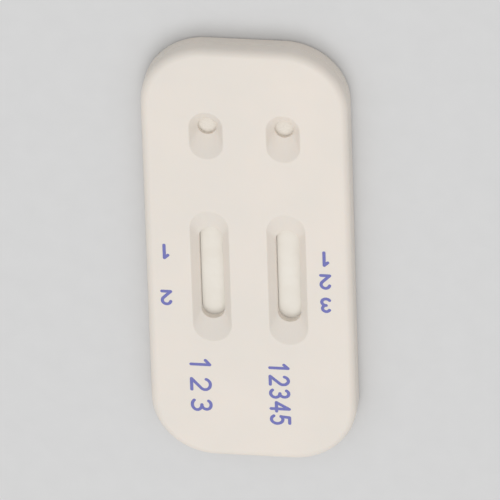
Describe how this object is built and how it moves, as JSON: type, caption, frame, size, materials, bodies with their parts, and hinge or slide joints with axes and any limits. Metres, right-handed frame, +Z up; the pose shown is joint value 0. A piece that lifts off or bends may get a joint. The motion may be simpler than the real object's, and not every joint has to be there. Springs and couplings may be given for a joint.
{
  "type": "lateral flow cassette",
  "caption": "Flat moulded test cassette with side-by-side paper strips, oval sample wells with round holes and long sloped read windows.",
  "frame": {"origin": "centre of the flat underside of the case", "axes": "+Y along the case from the sample wells to the plain grip end, +Z up through the face with the wells and windows, X across the two strips"},
  "size_m": [0.035, 0.08, 0.005],
  "materials": {
    "case": "satin cream-white moulded polystyrene",
    "card": "smooth white plastic card",
    "membrane": "fine-pored matt white membrane",
    "conjugate_pad": "dried glass-fibre pad, faintly tinted",
    "sample_pad": "matt off-white fibre pad",
    "absorbent_pad": "thick matt white fibre pad",
    "ink": "thin pad-printed violet-grey ink"
  },
  "bodies": {
    "root": {"upper_shell": "case", "lower_shell": "case", "left_backing_card": "card", "left_sample_pad": "sample_pad", "left_conjugate_pad": "conjugate_pad", "left_membrane": "membrane", "left_absorbent_pad": "absorbent_pad", "right_backing_card": "card", "right_sample_pad": "sample_pad", "right_conjugate_pad": "conjugate_pad", "right_membrane": "membrane", "right_absorbent_pad": "absorbent_pad"}
  },
  "joints": []
}
